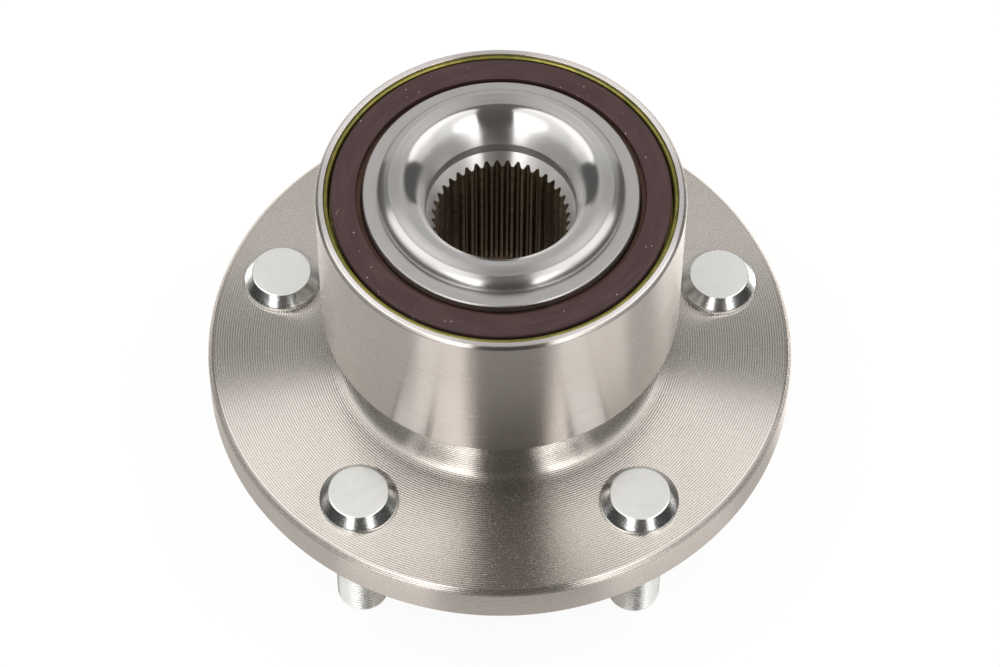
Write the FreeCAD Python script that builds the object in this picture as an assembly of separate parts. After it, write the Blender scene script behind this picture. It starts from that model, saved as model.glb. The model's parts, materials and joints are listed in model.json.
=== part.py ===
import FreeCAD, Part
import math
import os

# Wheel hub bearing with a flanged hub. The hub turns on two rows of balls inside a plain outer
# ring, and five wheel studs are pressed into its flange.
# The origin is on the axis, in the flange face that the brake disc seats on. +Z runs along the
# axis, away from the wheel, towards the formed collar. Lengths are millimetres, angles degrees.
# Radii build up from the splined bore to the outer ring, and heights build up from the flange,
# so that a changed wall, ball or seal moves all that lies beyond it.

# Splined bore for the drive shaft
SPLINE_TEETH = 40
SPLINE_MODULE = 0.75
SPLINE_ADDENDUM = 0.35
SPLINE_DEDENDUM = 0.45
SPLINE_FLANK_ANGLE = 37.5
SPLINE_LENGTH = 40.0
SPLINE_PHASE = 3.5
BORE_RELIEF = 0.75
THROAT_STEP = 1.15
THROAT_SLOPE = 1.5

# Walls, from the spline out to the outer ring
SPINDLE_WALL = 5.55
WALL_UNDER_BALLS = 4.15
WALL_OVER_BALLS = 3.15
SEAL_SEAT_WALL = 1.8

# Balls, raceways and cages
BALL_D = 12.7
BALLS_PER_ROW = 13
ROW_SPACING = 18.0
CONTACT_ANGLE = 40.0
GROOVE_CONFORMITY = 0.52
RUNNING_CLEARANCE = 0.05
SHOULDER_BELOW_PITCH = 0.9
RIB_ABOVE_PITCH = 1.6
SNAP_LIP = 0.2
POCKET_CLEARANCE = 0.15
CAGE_WALL = 0.6
CAGE_END_GAP = 0.3
CAGE_PRONG = 3.2
CAGE_INNER_STEP = 0.9
CAGE_OUTER_STEP = 2.9
CAGE_RIM_STEP = 1.25

# Flange, neck and pilot of the hub
FLANGE_THICKNESS = 11.0
FLANGE_MARGIN = 14.0
FLANGE_CHAMFER = 1.1
NECK_STEP = 0.4
NECK_FILLET = 9.0
RING_STANDOFF = 16.6
PILOT_D = 63.4
PILOT_LENGTH = 13.0
PILOT_CHAMFER = 1.5
PILOT_UNDERCUT = 0.6
PILOT_WALL = 6.2
FACE_RELIEF_DEPTH = 0.8
FACE_RELIEF_MARGIN = 9.5
NUT_SEAT_DEPTH = 4.0
NUT_SEAT_FILLET = 3.0

# Inner ring and formed collar
INNER_RING_PROUD = 1.0
INNER_RING_EDGE = 0.25
SEAT_FILLET = 0.8
SEAT_CHAMFER = 1.2
COLLAR_CHAMFER = 2.0
COLLAR_OVERLAP = 5.6
COLLAR_HEIGHT = 3.1
COLLAR_BULGE = 0.7
COLLAR_BEAD = 2.3
COLLAR_BEAD_HEIGHT = 0.65
COLLAR_CREST_ANGLE = 14.0
COLLAR_CREST_WIDTH = 2.6
FUNNEL_WIDTH = 5.6
FUNNEL_DEPTH = 10.4

# Outer ring edges
RING_CHAMFER = 0.65
LEAD_IN = 0.3

# Inboard cassette seal and its encoder
INBOARD_SEAL_DEPTH = 4.8
SEAL_CASE_WALL = 1.0
SEAL_CASE_SET_BACK = 0.2
SEAL_WEB_REACH = 3.8
SEAL_BEND = 0.6
SLINGER_WALL = 0.5
SLINGER_RISE = 0.3
ENCODER_THICKNESS = 1.0
ENCODER_PROUD = 0.1
ENCODER_RIM = 0.55
ENCODER_INNER_GAP = 1.5
ENCODER_OUTER_GAP = 0.55
LIP_CLEARANCE = 0.08
LIP_TIP = 0.35

# Outboard seal
OUTBOARD_SEAL_DEPTH = 3.6
OUTBOARD_WEB_REACH = 3.2
OUTBOARD_FACING = 1.0

# Wheel studs
STUD_COUNT = 5
STUD_CIRCLE_D = 108.0
STUD_FIRST_ANGLE = 18.0
STUD_THREAD_D = 12.0
STUD_KNURL_STEP = 0.35
STUD_KNURL_LENGTH = 8.5
STUD_RUN_OUT = 0.25
STUD_HEAD_STEP = 3.0
STUD_HEAD_BAND = 1.0
STUD_HEAD_HEIGHT = 3.7
STUD_HEAD_CHAMFER = 2.2
STUD_REACH = 29.5
STUD_TIP_CHAMFER = 0.9

# Radii worked out from the bore outwards
SPLINE_PITCH_R = SPLINE_TEETH * SPLINE_MODULE / 2
SPLINE_MINOR_R = SPLINE_PITCH_R - SPLINE_ADDENDUM
SPLINE_MAJOR_R = SPLINE_PITCH_R + SPLINE_DEDENDUM
THROAT_R = SPLINE_MAJOR_R + THROAT_STEP
SEAT_R = SPLINE_MAJOR_R + SPINDLE_WALL
BALL_R = BALL_D / 2
PITCH_R = SEAT_R + WALL_UNDER_BALLS + BALL_R
RING_R = PITCH_R + BALL_R + WALL_OVER_BALLS
SHOULDER_R = PITCH_R - SHOULDER_BELOW_PITCH
RIB_R = PITCH_R + RIB_ABOVE_PITCH
NECK_R = SHOULDER_R + NECK_STEP
SEAL_SEAT_R = RING_R - SEAL_SEAT_WALL
POCKET_R = BALL_R + POCKET_CLEARANCE
STUD_CIRCLE_R = STUD_CIRCLE_D / 2
FLANGE_R = STUD_CIRCLE_R + FLANGE_MARGIN
STUD_R = STUD_THREAD_D / 2
STUD_KNURL_R = STUD_R + STUD_KNURL_STEP
STUD_HEAD_R = STUD_R + STUD_HEAD_STEP

# Heights worked out from the flange upwards
CAGE_REACH = POCKET_R + CAGE_WALL
RING_BOTTOM = FLANGE_THICKNESS + RING_STANDOFF
OUTBOARD_ROW_Z = RING_BOTTOM + OUTBOARD_SEAL_DEPTH + CAGE_END_GAP + CAGE_REACH
INBOARD_ROW_Z = OUTBOARD_ROW_Z + ROW_SPACING
MIDDLE_Z = (OUTBOARD_ROW_Z + INBOARD_ROW_Z) / 2
RING_TOP = INBOARD_ROW_Z + CAGE_REACH + CAGE_END_GAP + INBOARD_SEAL_DEPTH
INNER_RING_TOP = RING_TOP + INNER_RING_PROUD
COLLAR_TOP = INNER_RING_TOP + COLLAR_HEIGHT
THROAT_Z = COLLAR_TOP - FUNNEL_DEPTH
SPLINE_BOTTOM = THROAT_Z - SPLINE_LENGTH
ENCODER_TOP = RING_TOP + ENCODER_PROUD
SLINGER_TOP = ENCODER_TOP - ENCODER_THICKNESS

# Raceway grooves: each groove circle is a little larger than the ball, and stands off along the
# contact line so that the ball keeps its running clearance where the two come nearest
GROOVE_R = GROOVE_CONFORMITY * BALL_D
GROOVE_OFFSET = GROOVE_R - BALL_R - RUNNING_CLEARANCE
GROOVE_OFFSET_R = GROOVE_OFFSET * math.cos(math.radians(CONTACT_ANGLE))
GROOVE_OFFSET_Z = GROOVE_OFFSET * math.sin(math.radians(CONTACT_ANGLE))
INNER_GROOVE_R = PITCH_R + GROOVE_OFFSET_R
OUTER_GROOVE_R = PITCH_R - GROOVE_OFFSET_R
INNER_LAND_R = INNER_GROOVE_R - GROOVE_R + SNAP_LIP
OUTER_LAND_R = OUTER_GROOVE_R + GROOVE_R - SNAP_LIP

AXIS = FreeCAD.Vector(0, 0, 1)
ORIGIN = FreeCAD.Vector(0, 0, 0)


class Section:
    """Half-section of a turned piece, drawn as radius and height from point to point."""

    def __init__(self, r, z):
        self.first = (r, z)
        self.last = (r, z)
        self.edges = []

    def draw(self, curve, r, z):
        self.edges.append(curve.toShape())
        self.last = (r, z)
        return self

    def to(self, r, z):
        """Straight line to a point."""
        return self.draw(Part.LineSegment(in_section(*self.last), in_section(r, z)), r, z)

    def around(self, centre, r, z):
        """Shorter arc about a centre, from the last point to a point."""
        radius = math.dist(self.last, centre)
        bisector = ((self.last[0] + r) / 2 - centre[0], (self.last[1] + z) / 2 - centre[1])
        scale = radius / math.hypot(*bisector)
        middle = (centre[0] + bisector[0] * scale, centre[1] + bisector[1] * scale)
        return self.draw(Part.Arc(in_section(*self.last), in_section(*middle), in_section(r, z)), r, z)

    def funnel(self, r, z):
        """Quarter of an ellipse that leaves the last point level and arrives at a point upright."""
        centre = in_section(self.last[0], z)
        ellipse = Part.Ellipse(in_section(*self.last), in_section(r, z), centre)
        start = ellipse.parameter(in_section(*self.last))
        end = ellipse.parameter(in_section(r, z))
        if (end - start) % (2 * math.pi) > math.pi:
            start, end = end, start
        return self.draw(Part.ArcOfEllipse(ellipse, start, end), r, z)

    def turned(self):
        """Close the outline and turn it about the axis into a solid."""
        if self.last != self.first:
            self.to(*self.first)
        return Part.Face(Part.Wire(self.edges)).revolve(ORIGIN, AXIS, 360)


def in_section(r, z):
    return FreeCAD.Vector(r, 0, z)


def on_circle(r, angle, z=0.0):
    return FreeCAD.Vector(r * math.cos(math.radians(angle)), r * math.sin(math.radians(angle)), z)


def along_groove(r, groove_centre_r):
    """Axial distance from a groove's centre to where its circle crosses radius r."""
    return math.sqrt(GROOVE_R**2 - (r - groove_centre_r) ** 2)


def spline_cutter():
    """Prism with the outline of the splined bore: narrow spaces between lands, all the way round."""
    half_space = math.pi * SPLINE_MODULE / 4
    slope = math.tan(math.radians(SPLINE_FLANK_ANGLE))
    at_major = math.degrees((half_space - SPLINE_DEDENDUM * slope) / SPLINE_MAJOR_R)
    at_minor = math.degrees((half_space + SPLINE_ADDENDUM * slope) / SPLINE_MINOR_R)
    pitch = 360 / SPLINE_TEETH
    edges = []
    for tooth in range(SPLINE_TEETH):
        middle = SPLINE_PHASE + tooth * pitch
        root_start = on_circle(SPLINE_MAJOR_R, middle - at_major)
        root_middle = on_circle(SPLINE_MAJOR_R, middle)
        root_end = on_circle(SPLINE_MAJOR_R, middle + at_major)
        land_start = on_circle(SPLINE_MINOR_R, middle + at_minor)
        land_middle = on_circle(SPLINE_MINOR_R, middle + pitch / 2)
        land_end = on_circle(SPLINE_MINOR_R, middle + pitch - at_minor)
        next_root = on_circle(SPLINE_MAJOR_R, middle + pitch - at_major)
        edges.append(Part.Arc(root_start, root_middle, root_end).toShape())
        edges.append(Part.LineSegment(root_end, land_start).toShape())
        edges.append(Part.Arc(land_start, land_middle, land_end).toShape())
        edges.append(Part.LineSegment(land_end, next_root).toShape())
    outline = Part.Face(Part.Wire(edges))
    outline.translate(AXIS * (SPLINE_BOTTOM - BORE_RELIEF))
    return outline.extrude(AXIS * (SPLINE_LENGTH + BORE_RELIEF + THROAT_STEP))


def wheel_hub():
    """Hub: pilot, flange, neck, outboard raceway, ring seat, formed collar, funnel and spline."""
    pilot_r = PILOT_D / 2
    root_r = pilot_r - PILOT_UNDERCUT
    recess_r = pilot_r - PILOT_WALL
    relief_r = SPLINE_MAJOR_R + BORE_RELIEF
    blank_r = SPLINE_MINOR_R - BORE_RELIEF
    face_r = STUD_CIRCLE_R - FACE_RELIEF_MARGIN
    groove = (INNER_GROOVE_R, OUTBOARD_ROW_Z + GROOVE_OFFSET_Z)
    groove_low_z = groove[1] - along_groove(SHOULDER_R, INNER_GROOVE_R)
    groove_high_z = groove[1] + along_groove(INNER_LAND_R, INNER_GROOVE_R)
    bead = (SEAT_R + COLLAR_OVERLAP + COLLAR_BULGE - COLLAR_BEAD, INNER_RING_TOP + COLLAR_BEAD_HEIGHT)
    crest_angle = math.radians(COLLAR_CREST_ANGLE)
    bead_end = (bead[0] + COLLAR_BEAD * math.sin(crest_angle), bead[1] + COLLAR_BEAD * math.cos(crest_angle))
    crest_inner_r = THROAT_R + FUNNEL_WIDTH
    section = Section(blank_r, SPLINE_BOTTOM + relief_r - blank_r)
    section.to(relief_r, SPLINE_BOTTOM)
    section.to(relief_r, NUT_SEAT_DEPTH + LEAD_IN)
    section.to(relief_r + LEAD_IN, NUT_SEAT_DEPTH)
    section.to(recess_r - NUT_SEAT_FILLET, NUT_SEAT_DEPTH)
    section.around((recess_r - NUT_SEAT_FILLET, NUT_SEAT_DEPTH - NUT_SEAT_FILLET),
                   recess_r, NUT_SEAT_DEPTH - NUT_SEAT_FILLET)
    section.to(recess_r, FLANGE_CHAMFER - PILOT_LENGTH)
    section.to(recess_r + FLANGE_CHAMFER, -PILOT_LENGTH)
    section.to(pilot_r - PILOT_CHAMFER, -PILOT_LENGTH)
    section.to(pilot_r, PILOT_CHAMFER - PILOT_LENGTH)
    section.to(pilot_r, -2 * PILOT_UNDERCUT)
    section.to(root_r, -PILOT_UNDERCUT)
    section.to(root_r, FACE_RELIEF_DEPTH)
    section.to(face_r, FACE_RELIEF_DEPTH)
    section.to(face_r + FACE_RELIEF_DEPTH, 0)
    section.to(FLANGE_R - FLANGE_CHAMFER, 0)
    section.to(FLANGE_R, FLANGE_CHAMFER)
    section.to(FLANGE_R, FLANGE_THICKNESS - FLANGE_CHAMFER)
    section.to(FLANGE_R - FLANGE_CHAMFER, FLANGE_THICKNESS)
    section.to(NECK_R + NECK_FILLET, FLANGE_THICKNESS)
    section.around((NECK_R + NECK_FILLET, FLANGE_THICKNESS + NECK_FILLET),
                   NECK_R, FLANGE_THICKNESS + NECK_FILLET)
    section.to(NECK_R, groove_low_z - 2 * NECK_STEP)
    section.to(SHOULDER_R, groove_low_z - NECK_STEP)
    section.to(SHOULDER_R, groove_low_z)
    section.around(groove, INNER_LAND_R, groove_high_z)
    section.to(INNER_LAND_R, MIDDLE_Z - LEAD_IN)
    section.to(INNER_LAND_R - LEAD_IN, MIDDLE_Z)
    section.to(SEAT_R + SEAT_FILLET, MIDDLE_Z)
    section.around((SEAT_R + SEAT_FILLET, MIDDLE_Z + SEAT_FILLET), SEAT_R, MIDDLE_Z + SEAT_FILLET)
    section.to(SEAT_R, INNER_RING_TOP - COLLAR_CHAMFER)
    section.to(SEAT_R + COLLAR_CHAMFER, INNER_RING_TOP)
    section.to(SEAT_R + COLLAR_OVERLAP, INNER_RING_TOP)
    section.to(bead[0] + COLLAR_BEAD, bead[1])
    section.around(bead, *bead_end)
    section.to(crest_inner_r + COLLAR_CREST_WIDTH, COLLAR_TOP)
    section.to(crest_inner_r, COLLAR_TOP)
    section.funnel(THROAT_R, THROAT_Z)
    section.to(blank_r, THROAT_Z - (THROAT_R - blank_r) * THROAT_SLOPE)
    hub = section.turned().cut(spline_cutter())
    holes = [
        Part.makeCylinder(STUD_KNURL_R, 3 * FLANGE_THICKNESS, on_circle(STUD_CIRCLE_R, angle, -FLANGE_THICKNESS))
        for angle in stud_angles()
    ]
    return hub.cut(holes)


def inner_ring():
    """Small inner ring with the inboard raceway, clamped on its seat by the formed collar."""
    groove = (INNER_GROOVE_R, INBOARD_ROW_Z - GROOVE_OFFSET_Z)
    section = Section(SEAT_R, MIDDLE_Z + SEAT_CHAMFER)
    section.to(SEAT_R + SEAT_CHAMFER, MIDDLE_Z)
    section.to(INNER_LAND_R - LEAD_IN, MIDDLE_Z)
    section.to(INNER_LAND_R, MIDDLE_Z + LEAD_IN)
    section.to(INNER_LAND_R, groove[1] - along_groove(INNER_LAND_R, INNER_GROOVE_R))
    section.around(groove, SHOULDER_R, groove[1] + along_groove(SHOULDER_R, INNER_GROOVE_R))
    section.to(SHOULDER_R, INNER_RING_TOP - INNER_RING_EDGE)
    section.to(SHOULDER_R - INNER_RING_EDGE, INNER_RING_TOP)
    section.to(SEAT_R + COLLAR_CHAMFER, INNER_RING_TOP)
    section.to(SEAT_R, INNER_RING_TOP - COLLAR_CHAMFER)
    return section.turned()


def outer_ring():
    """Outer ring: two raceways with a rib between them, and a seal seat at each end."""
    low = (OUTER_GROOVE_R, OUTBOARD_ROW_Z - GROOVE_OFFSET_Z)
    high = (OUTER_GROOVE_R, INBOARD_ROW_Z + GROOVE_OFFSET_Z)
    to_land = along_groove(OUTER_LAND_R, OUTER_GROOVE_R)
    to_rib = along_groove(RIB_R, OUTER_GROOVE_R)
    section = Section(RING_R, RING_BOTTOM + RING_CHAMFER)
    section.to(RING_R, RING_TOP - RING_CHAMFER)
    section.to(RING_R - RING_CHAMFER, RING_TOP)
    section.to(SEAL_SEAT_R, RING_TOP)
    section.to(SEAL_SEAT_R, RING_TOP - INBOARD_SEAL_DEPTH)
    section.to(OUTER_LAND_R, RING_TOP - INBOARD_SEAL_DEPTH)
    section.to(OUTER_LAND_R, high[1] + to_land)
    section.around(high, RIB_R, high[1] - to_rib)
    section.to(RIB_R, low[1] + to_rib)
    section.around(low, OUTER_LAND_R, low[1] - to_land)
    section.to(OUTER_LAND_R, RING_BOTTOM + OUTBOARD_SEAL_DEPTH)
    section.to(SEAL_SEAT_R, RING_BOTTOM + OUTBOARD_SEAL_DEPTH)
    section.to(SEAL_SEAT_R, RING_BOTTOM)
    section.to(RING_R - RING_CHAMFER, RING_BOTTOM)
    return section.turned()


def ball_centres(row_z, first_angle):
    return [on_circle(PITCH_R, first_angle + n * 360 / BALLS_PER_ROW, row_z) for n in range(BALLS_PER_ROW)]


def cage(row_z, first_angle, side):
    """Snap-in cage: a rim on the seal side, and prongs that reach past the balls' middle.

    side is 1 when the rim is above the balls and -1 when it is below them.
    """
    inner_r = PITCH_R - CAGE_INNER_STEP
    outer_r = OUTER_LAND_R - CAGE_RIM_STEP
    section = Section(PITCH_R + CAGE_INNER_STEP, row_z + side * CAGE_REACH)
    section.to(outer_r, row_z + side * CAGE_REACH)
    section.to(outer_r, row_z + side * CAGE_PRONG)
    section.to(PITCH_R + CAGE_OUTER_STEP, row_z - side * CAGE_PRONG)
    section.to(inner_r, row_z - side * CAGE_PRONG)
    section.to(inner_r, row_z + side * CAGE_PRONG)
    pockets = [Part.makeSphere(POCKET_R, centre) for centre in ball_centres(row_z, first_angle)]
    return section.turned().cut(pockets)


def inboard_seal_case():
    """Stamped case, pressed into the outer ring, with its web against the step below."""
    web_z = RING_TOP - INBOARD_SEAL_DEPTH
    edge_z = RING_TOP - SEAL_CASE_SET_BACK
    inside_r = SEAL_SEAT_R - SEAL_CASE_WALL
    web_r = inside_r - SEAL_WEB_REACH
    section = Section(SEAL_SEAT_R, web_z + SEAL_BEND)
    section.to(SEAL_SEAT_R, edge_z - SEAL_CASE_SET_BACK)
    section.to(SEAL_SEAT_R - SEAL_CASE_SET_BACK, edge_z)
    section.to(inside_r + SEAL_CASE_SET_BACK, edge_z)
    section.to(inside_r, edge_z - SEAL_CASE_SET_BACK)
    section.to(inside_r, web_z + SEAL_CASE_WALL)
    section.to(web_r, web_z + SEAL_CASE_WALL)
    section.to(web_r, web_z)
    section.to(SEAL_SEAT_R - SEAL_BEND, web_z)
    section.around((SEAL_SEAT_R - SEAL_BEND, web_z + SEAL_BEND), SEAL_SEAT_R, web_z + SEAL_BEND)
    return section.turned()


def inboard_seal_lip():
    """Rubber on the web's edge: one lip runs on the slinger's sleeve, one under its flange."""
    web_z = RING_TOP - INBOARD_SEAL_DEPTH
    top_z = web_z + SEAL_CASE_WALL
    web_r = SEAL_SEAT_R - SEAL_CASE_WALL - SEAL_WEB_REACH
    sleeve_r = SHOULDER_R + SLINGER_WALL + LIP_CLEARANCE
    under_z = SLINGER_TOP - SLINGER_WALL - LIP_CLEARANCE
    body_r = (web_r + sleeve_r) / 2
    section = Section(web_r, web_z)
    section.to(body_r, web_z)
    section.to(sleeve_r, top_z - LIP_TIP)
    section.to(sleeve_r, top_z)
    section.to(body_r, top_z)
    section.to(web_r + LIP_TIP, under_z)
    section.to(web_r + 2 * LIP_TIP, under_z)
    section.to(web_r + LIP_TIP, top_z)
    section.to(web_r, top_z)
    return section.turned()


def slinger():
    """Stamped ring: a sleeve pressed on the inner ring and a flange that carries the encoder."""
    sleeve_r = SHOULDER_R + SLINGER_WALL
    rim_r = SEAL_SEAT_R - SEAL_CASE_WALL - ENCODER_OUTER_GAP - ENCODER_RIM
    foot_z = RING_TOP - INBOARD_SEAL_DEPTH + SLINGER_RISE
    section = Section(SHOULDER_R, foot_z)
    section.to(sleeve_r, foot_z)
    section.to(sleeve_r, SLINGER_TOP - SLINGER_WALL)
    section.to(rim_r, SLINGER_TOP - SLINGER_WALL)
    section.to(rim_r, SLINGER_TOP)
    section.to(SHOULDER_R + SEAL_BEND, SLINGER_TOP)
    section.around((SHOULDER_R + SEAL_BEND, SLINGER_TOP - SEAL_BEND), SHOULDER_R, SLINGER_TOP - SEAL_BEND)
    return section.turned()


def encoder_ring():
    """Magnetic rubber ring, bonded to the slinger's flange and wrapped around its rim."""
    outer_r = SEAL_SEAT_R - SEAL_CASE_WALL - ENCODER_OUTER_GAP
    rim_r = outer_r - ENCODER_RIM
    inner_r = SHOULDER_R + ENCODER_INNER_GAP
    section = Section(inner_r, SLINGER_TOP)
    section.to(rim_r, SLINGER_TOP)
    section.to(rim_r, SLINGER_TOP - SLINGER_WALL)
    section.to(outer_r, SLINGER_TOP - SLINGER_WALL)
    section.to(outer_r, ENCODER_TOP - INNER_RING_EDGE)
    section.to(outer_r - INNER_RING_EDGE, ENCODER_TOP)
    section.to(inner_r, ENCODER_TOP)
    return section.turned()


def outboard_seal_case():
    """Stamped case of the seal beside the flange, pressed in from below against its step."""
    web_z = RING_BOTTOM + OUTBOARD_SEAL_DEPTH
    edge_z = RING_BOTTOM + SEAL_CASE_SET_BACK
    inside_r = SEAL_SEAT_R - SEAL_CASE_WALL
    web_r = inside_r - OUTBOARD_WEB_REACH
    section = Section(SEAL_SEAT_R, edge_z)
    section.to(inside_r, edge_z)
    section.to(inside_r, web_z - SEAL_CASE_WALL)
    section.to(web_r, web_z - SEAL_CASE_WALL)
    section.to(web_r, web_z)
    section.to(SEAL_SEAT_R - SEAL_BEND, web_z)
    section.around((SEAL_SEAT_R - SEAL_BEND, web_z - SEAL_BEND), SEAL_SEAT_R, web_z - SEAL_BEND)
    return section.turned()


def outboard_seal_lip():
    """Rubber of the outboard seal: a facing under the web, and two lips that run on the neck."""
    web_z = RING_BOTTOM + OUTBOARD_SEAL_DEPTH
    facing_z = web_z - SEAL_CASE_WALL
    cover_z = facing_z - OUTBOARD_FACING
    inside_r = SEAL_SEAT_R - SEAL_CASE_WALL
    web_r = inside_r - OUTBOARD_WEB_REACH
    neck_r = NECK_R + LIP_CLEARANCE
    body_r = (web_r + neck_r) / 2
    section = Section(web_r, web_z)
    section.to(body_r, web_z)
    section.to(neck_r, facing_z + LIP_TIP)
    section.to(neck_r, facing_z)
    section.to(body_r, facing_z)
    section.to(body_r, facing_z - LIP_TIP)
    section.to(neck_r, cover_z - LIP_TIP)
    section.to(neck_r, cover_z - 2 * LIP_TIP)
    section.to(body_r + LIP_TIP, cover_z)
    section.to(inside_r, cover_z)
    section.to(inside_r, facing_z)
    section.to(web_r, facing_z)
    return section.turned()


def stud_angles():
    return [STUD_FIRST_ANGLE + n * 360 / STUD_COUNT for n in range(STUD_COUNT)]


def wheel_stud(angle):
    """Wheel stud: head on the flange, knurled shank in its hole, and the thread from the disc face on."""
    head_z = FLANGE_THICKNESS
    neck_r = STUD_R - STUD_RUN_OUT
    section = Section(0, head_z + STUD_HEAD_HEIGHT)
    section.to(STUD_HEAD_R - STUD_HEAD_CHAMFER, head_z + STUD_HEAD_HEIGHT)
    section.to(STUD_HEAD_R, head_z + STUD_HEAD_BAND)
    section.to(STUD_HEAD_R, head_z)
    section.to(STUD_KNURL_R, head_z)
    section.to(STUD_KNURL_R, head_z - STUD_KNURL_LENGTH)
    section.to(neck_r, head_z - STUD_KNURL_LENGTH - STUD_KNURL_STEP - STUD_RUN_OUT)
    section.to(neck_r, STUD_RUN_OUT)
    section.to(STUD_R, 0)
    section.to(STUD_R, STUD_TIP_CHAMFER - STUD_REACH)
    section.to(STUD_R - STUD_TIP_CHAMFER, -STUD_REACH)
    section.to(0, -STUD_REACH)
    stud = section.turned()
    stud.translate(on_circle(STUD_CIRCLE_R, angle))
    return stud


def all_pieces():
    """Every piece by its node name."""
    outboard_angle = 0.0
    inboard_angle = 180 / BALLS_PER_ROW
    pieces = {
        "wheel_hub": wheel_hub(),
        "inner_ring": inner_ring(),
        "outer_ring": outer_ring(),
        "outboard_cage": cage(OUTBOARD_ROW_Z, outboard_angle, -1),
        "inboard_cage": cage(INBOARD_ROW_Z, inboard_angle, 1),
        "inboard_seal_case": inboard_seal_case(),
        "inboard_seal_lip": inboard_seal_lip(),
        "slinger": slinger(),
        "encoder_ring": encoder_ring(),
        "outboard_seal_case": outboard_seal_case(),
        "outboard_seal_lip": outboard_seal_lip(),
    }
    for n, angle in enumerate(stud_angles(), 1):
        pieces[f"wheel_stud_{n}"] = wheel_stud(angle)
    rows = {"outboard": (OUTBOARD_ROW_Z, outboard_angle), "inboard": (INBOARD_ROW_Z, inboard_angle)}
    for row, (row_z, first_angle) in rows.items():
        for n, centre in enumerate(ball_centres(row_z, first_angle), 1):
            pieces[f"{row}_ball_{n:02d}"] = Part.makeSphere(BALL_R, centre)
    return pieces


def main():
    os.makedirs("parts", exist_ok=True)
    for node, shape in all_pieces().items():
        shape.exportStep(f"parts/{node}.step")
        print(f"{node}: {len(shape.Solids)} solid, {shape.Volume / 1000:.2f} cm3, valid {shape.isValid()}")


main()
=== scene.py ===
import json
import logging
import math
from dataclasses import dataclass, field

import bmesh
import bpy
from mathutils import Matrix, Vector


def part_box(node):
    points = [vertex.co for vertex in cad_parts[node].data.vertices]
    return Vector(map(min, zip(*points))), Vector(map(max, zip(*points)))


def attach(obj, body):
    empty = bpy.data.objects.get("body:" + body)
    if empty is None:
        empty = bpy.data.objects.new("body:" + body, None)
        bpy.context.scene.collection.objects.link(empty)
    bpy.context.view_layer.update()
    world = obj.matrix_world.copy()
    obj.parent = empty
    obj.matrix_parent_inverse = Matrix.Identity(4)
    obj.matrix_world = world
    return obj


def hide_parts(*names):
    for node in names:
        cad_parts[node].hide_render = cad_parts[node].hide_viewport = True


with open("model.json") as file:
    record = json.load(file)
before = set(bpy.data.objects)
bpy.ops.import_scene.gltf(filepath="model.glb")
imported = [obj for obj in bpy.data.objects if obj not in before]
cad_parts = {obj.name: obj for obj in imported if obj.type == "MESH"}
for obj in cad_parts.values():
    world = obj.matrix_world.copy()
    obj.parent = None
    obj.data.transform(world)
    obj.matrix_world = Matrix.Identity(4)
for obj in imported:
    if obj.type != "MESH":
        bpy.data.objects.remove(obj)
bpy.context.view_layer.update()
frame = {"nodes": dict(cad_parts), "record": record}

MM = 0.001
TO_MM = 1000.0
TO_DEGREES = 180 / math.pi
QUARTER_TURN = 0.25
WELD = 1e-6
NEAR = 0.02
SHARP_ANGLE = 30.0
RING_STEPS = 256
FIRST_STUD = 18.0
FLANGE_TOP_Z = 11.0
KNURL_R = 6.35
ROW_MIDDLE_Z = 47.6
HUB_LAND_R = 25.252
LOG = logging.getLogger("wheel_hub_bearing")

Piece = bpy.types.Object
Colour = tuple[float, float, float]
Point = tuple[float, float]
Band = tuple[float, float]


# Shader maths


class Wire:
    """A shader socket that Python's operators can work with."""

    def __init__(self, bench: "Bench", socket: bpy.types.NodeSocket) -> None:
        """Keep the socket with the bench that its next nodes go on."""
        self.bench = bench
        self.socket = socket

    def out(self, name: str | int) -> "Wire":
        """Another output of the same node, by its name or number."""
        return Wire(self.bench, self.socket.node.outputs[name])

    def math(self, operation: str, *others: "Wire | float") -> "Wire":
        """Add a Math node whose first value is this wire."""
        return self.bench.math(operation, self, *others)

    def __add__(self, other: "Wire | float") -> "Wire":
        """Sum."""
        return self.math("ADD", other)

    __radd__ = __add__

    def __sub__(self, other: "Wire | float") -> "Wire":
        """Difference."""
        return self.math("SUBTRACT", other)

    def __rsub__(self, other: float) -> "Wire":
        """Difference, number first."""
        return self.bench.math("SUBTRACT", other, self)

    def __mul__(self, other: "Wire | float") -> "Wire":
        """Product."""
        return self.math("MULTIPLY", other)

    __rmul__ = __mul__

    def __truediv__(self, other: "Wire | float") -> "Wire":
        """Quotient."""
        return self.math("DIVIDE", other)

    def __pow__(self, other: float) -> "Wire":
        """Power."""
        return self.math("POWER", other)


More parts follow.
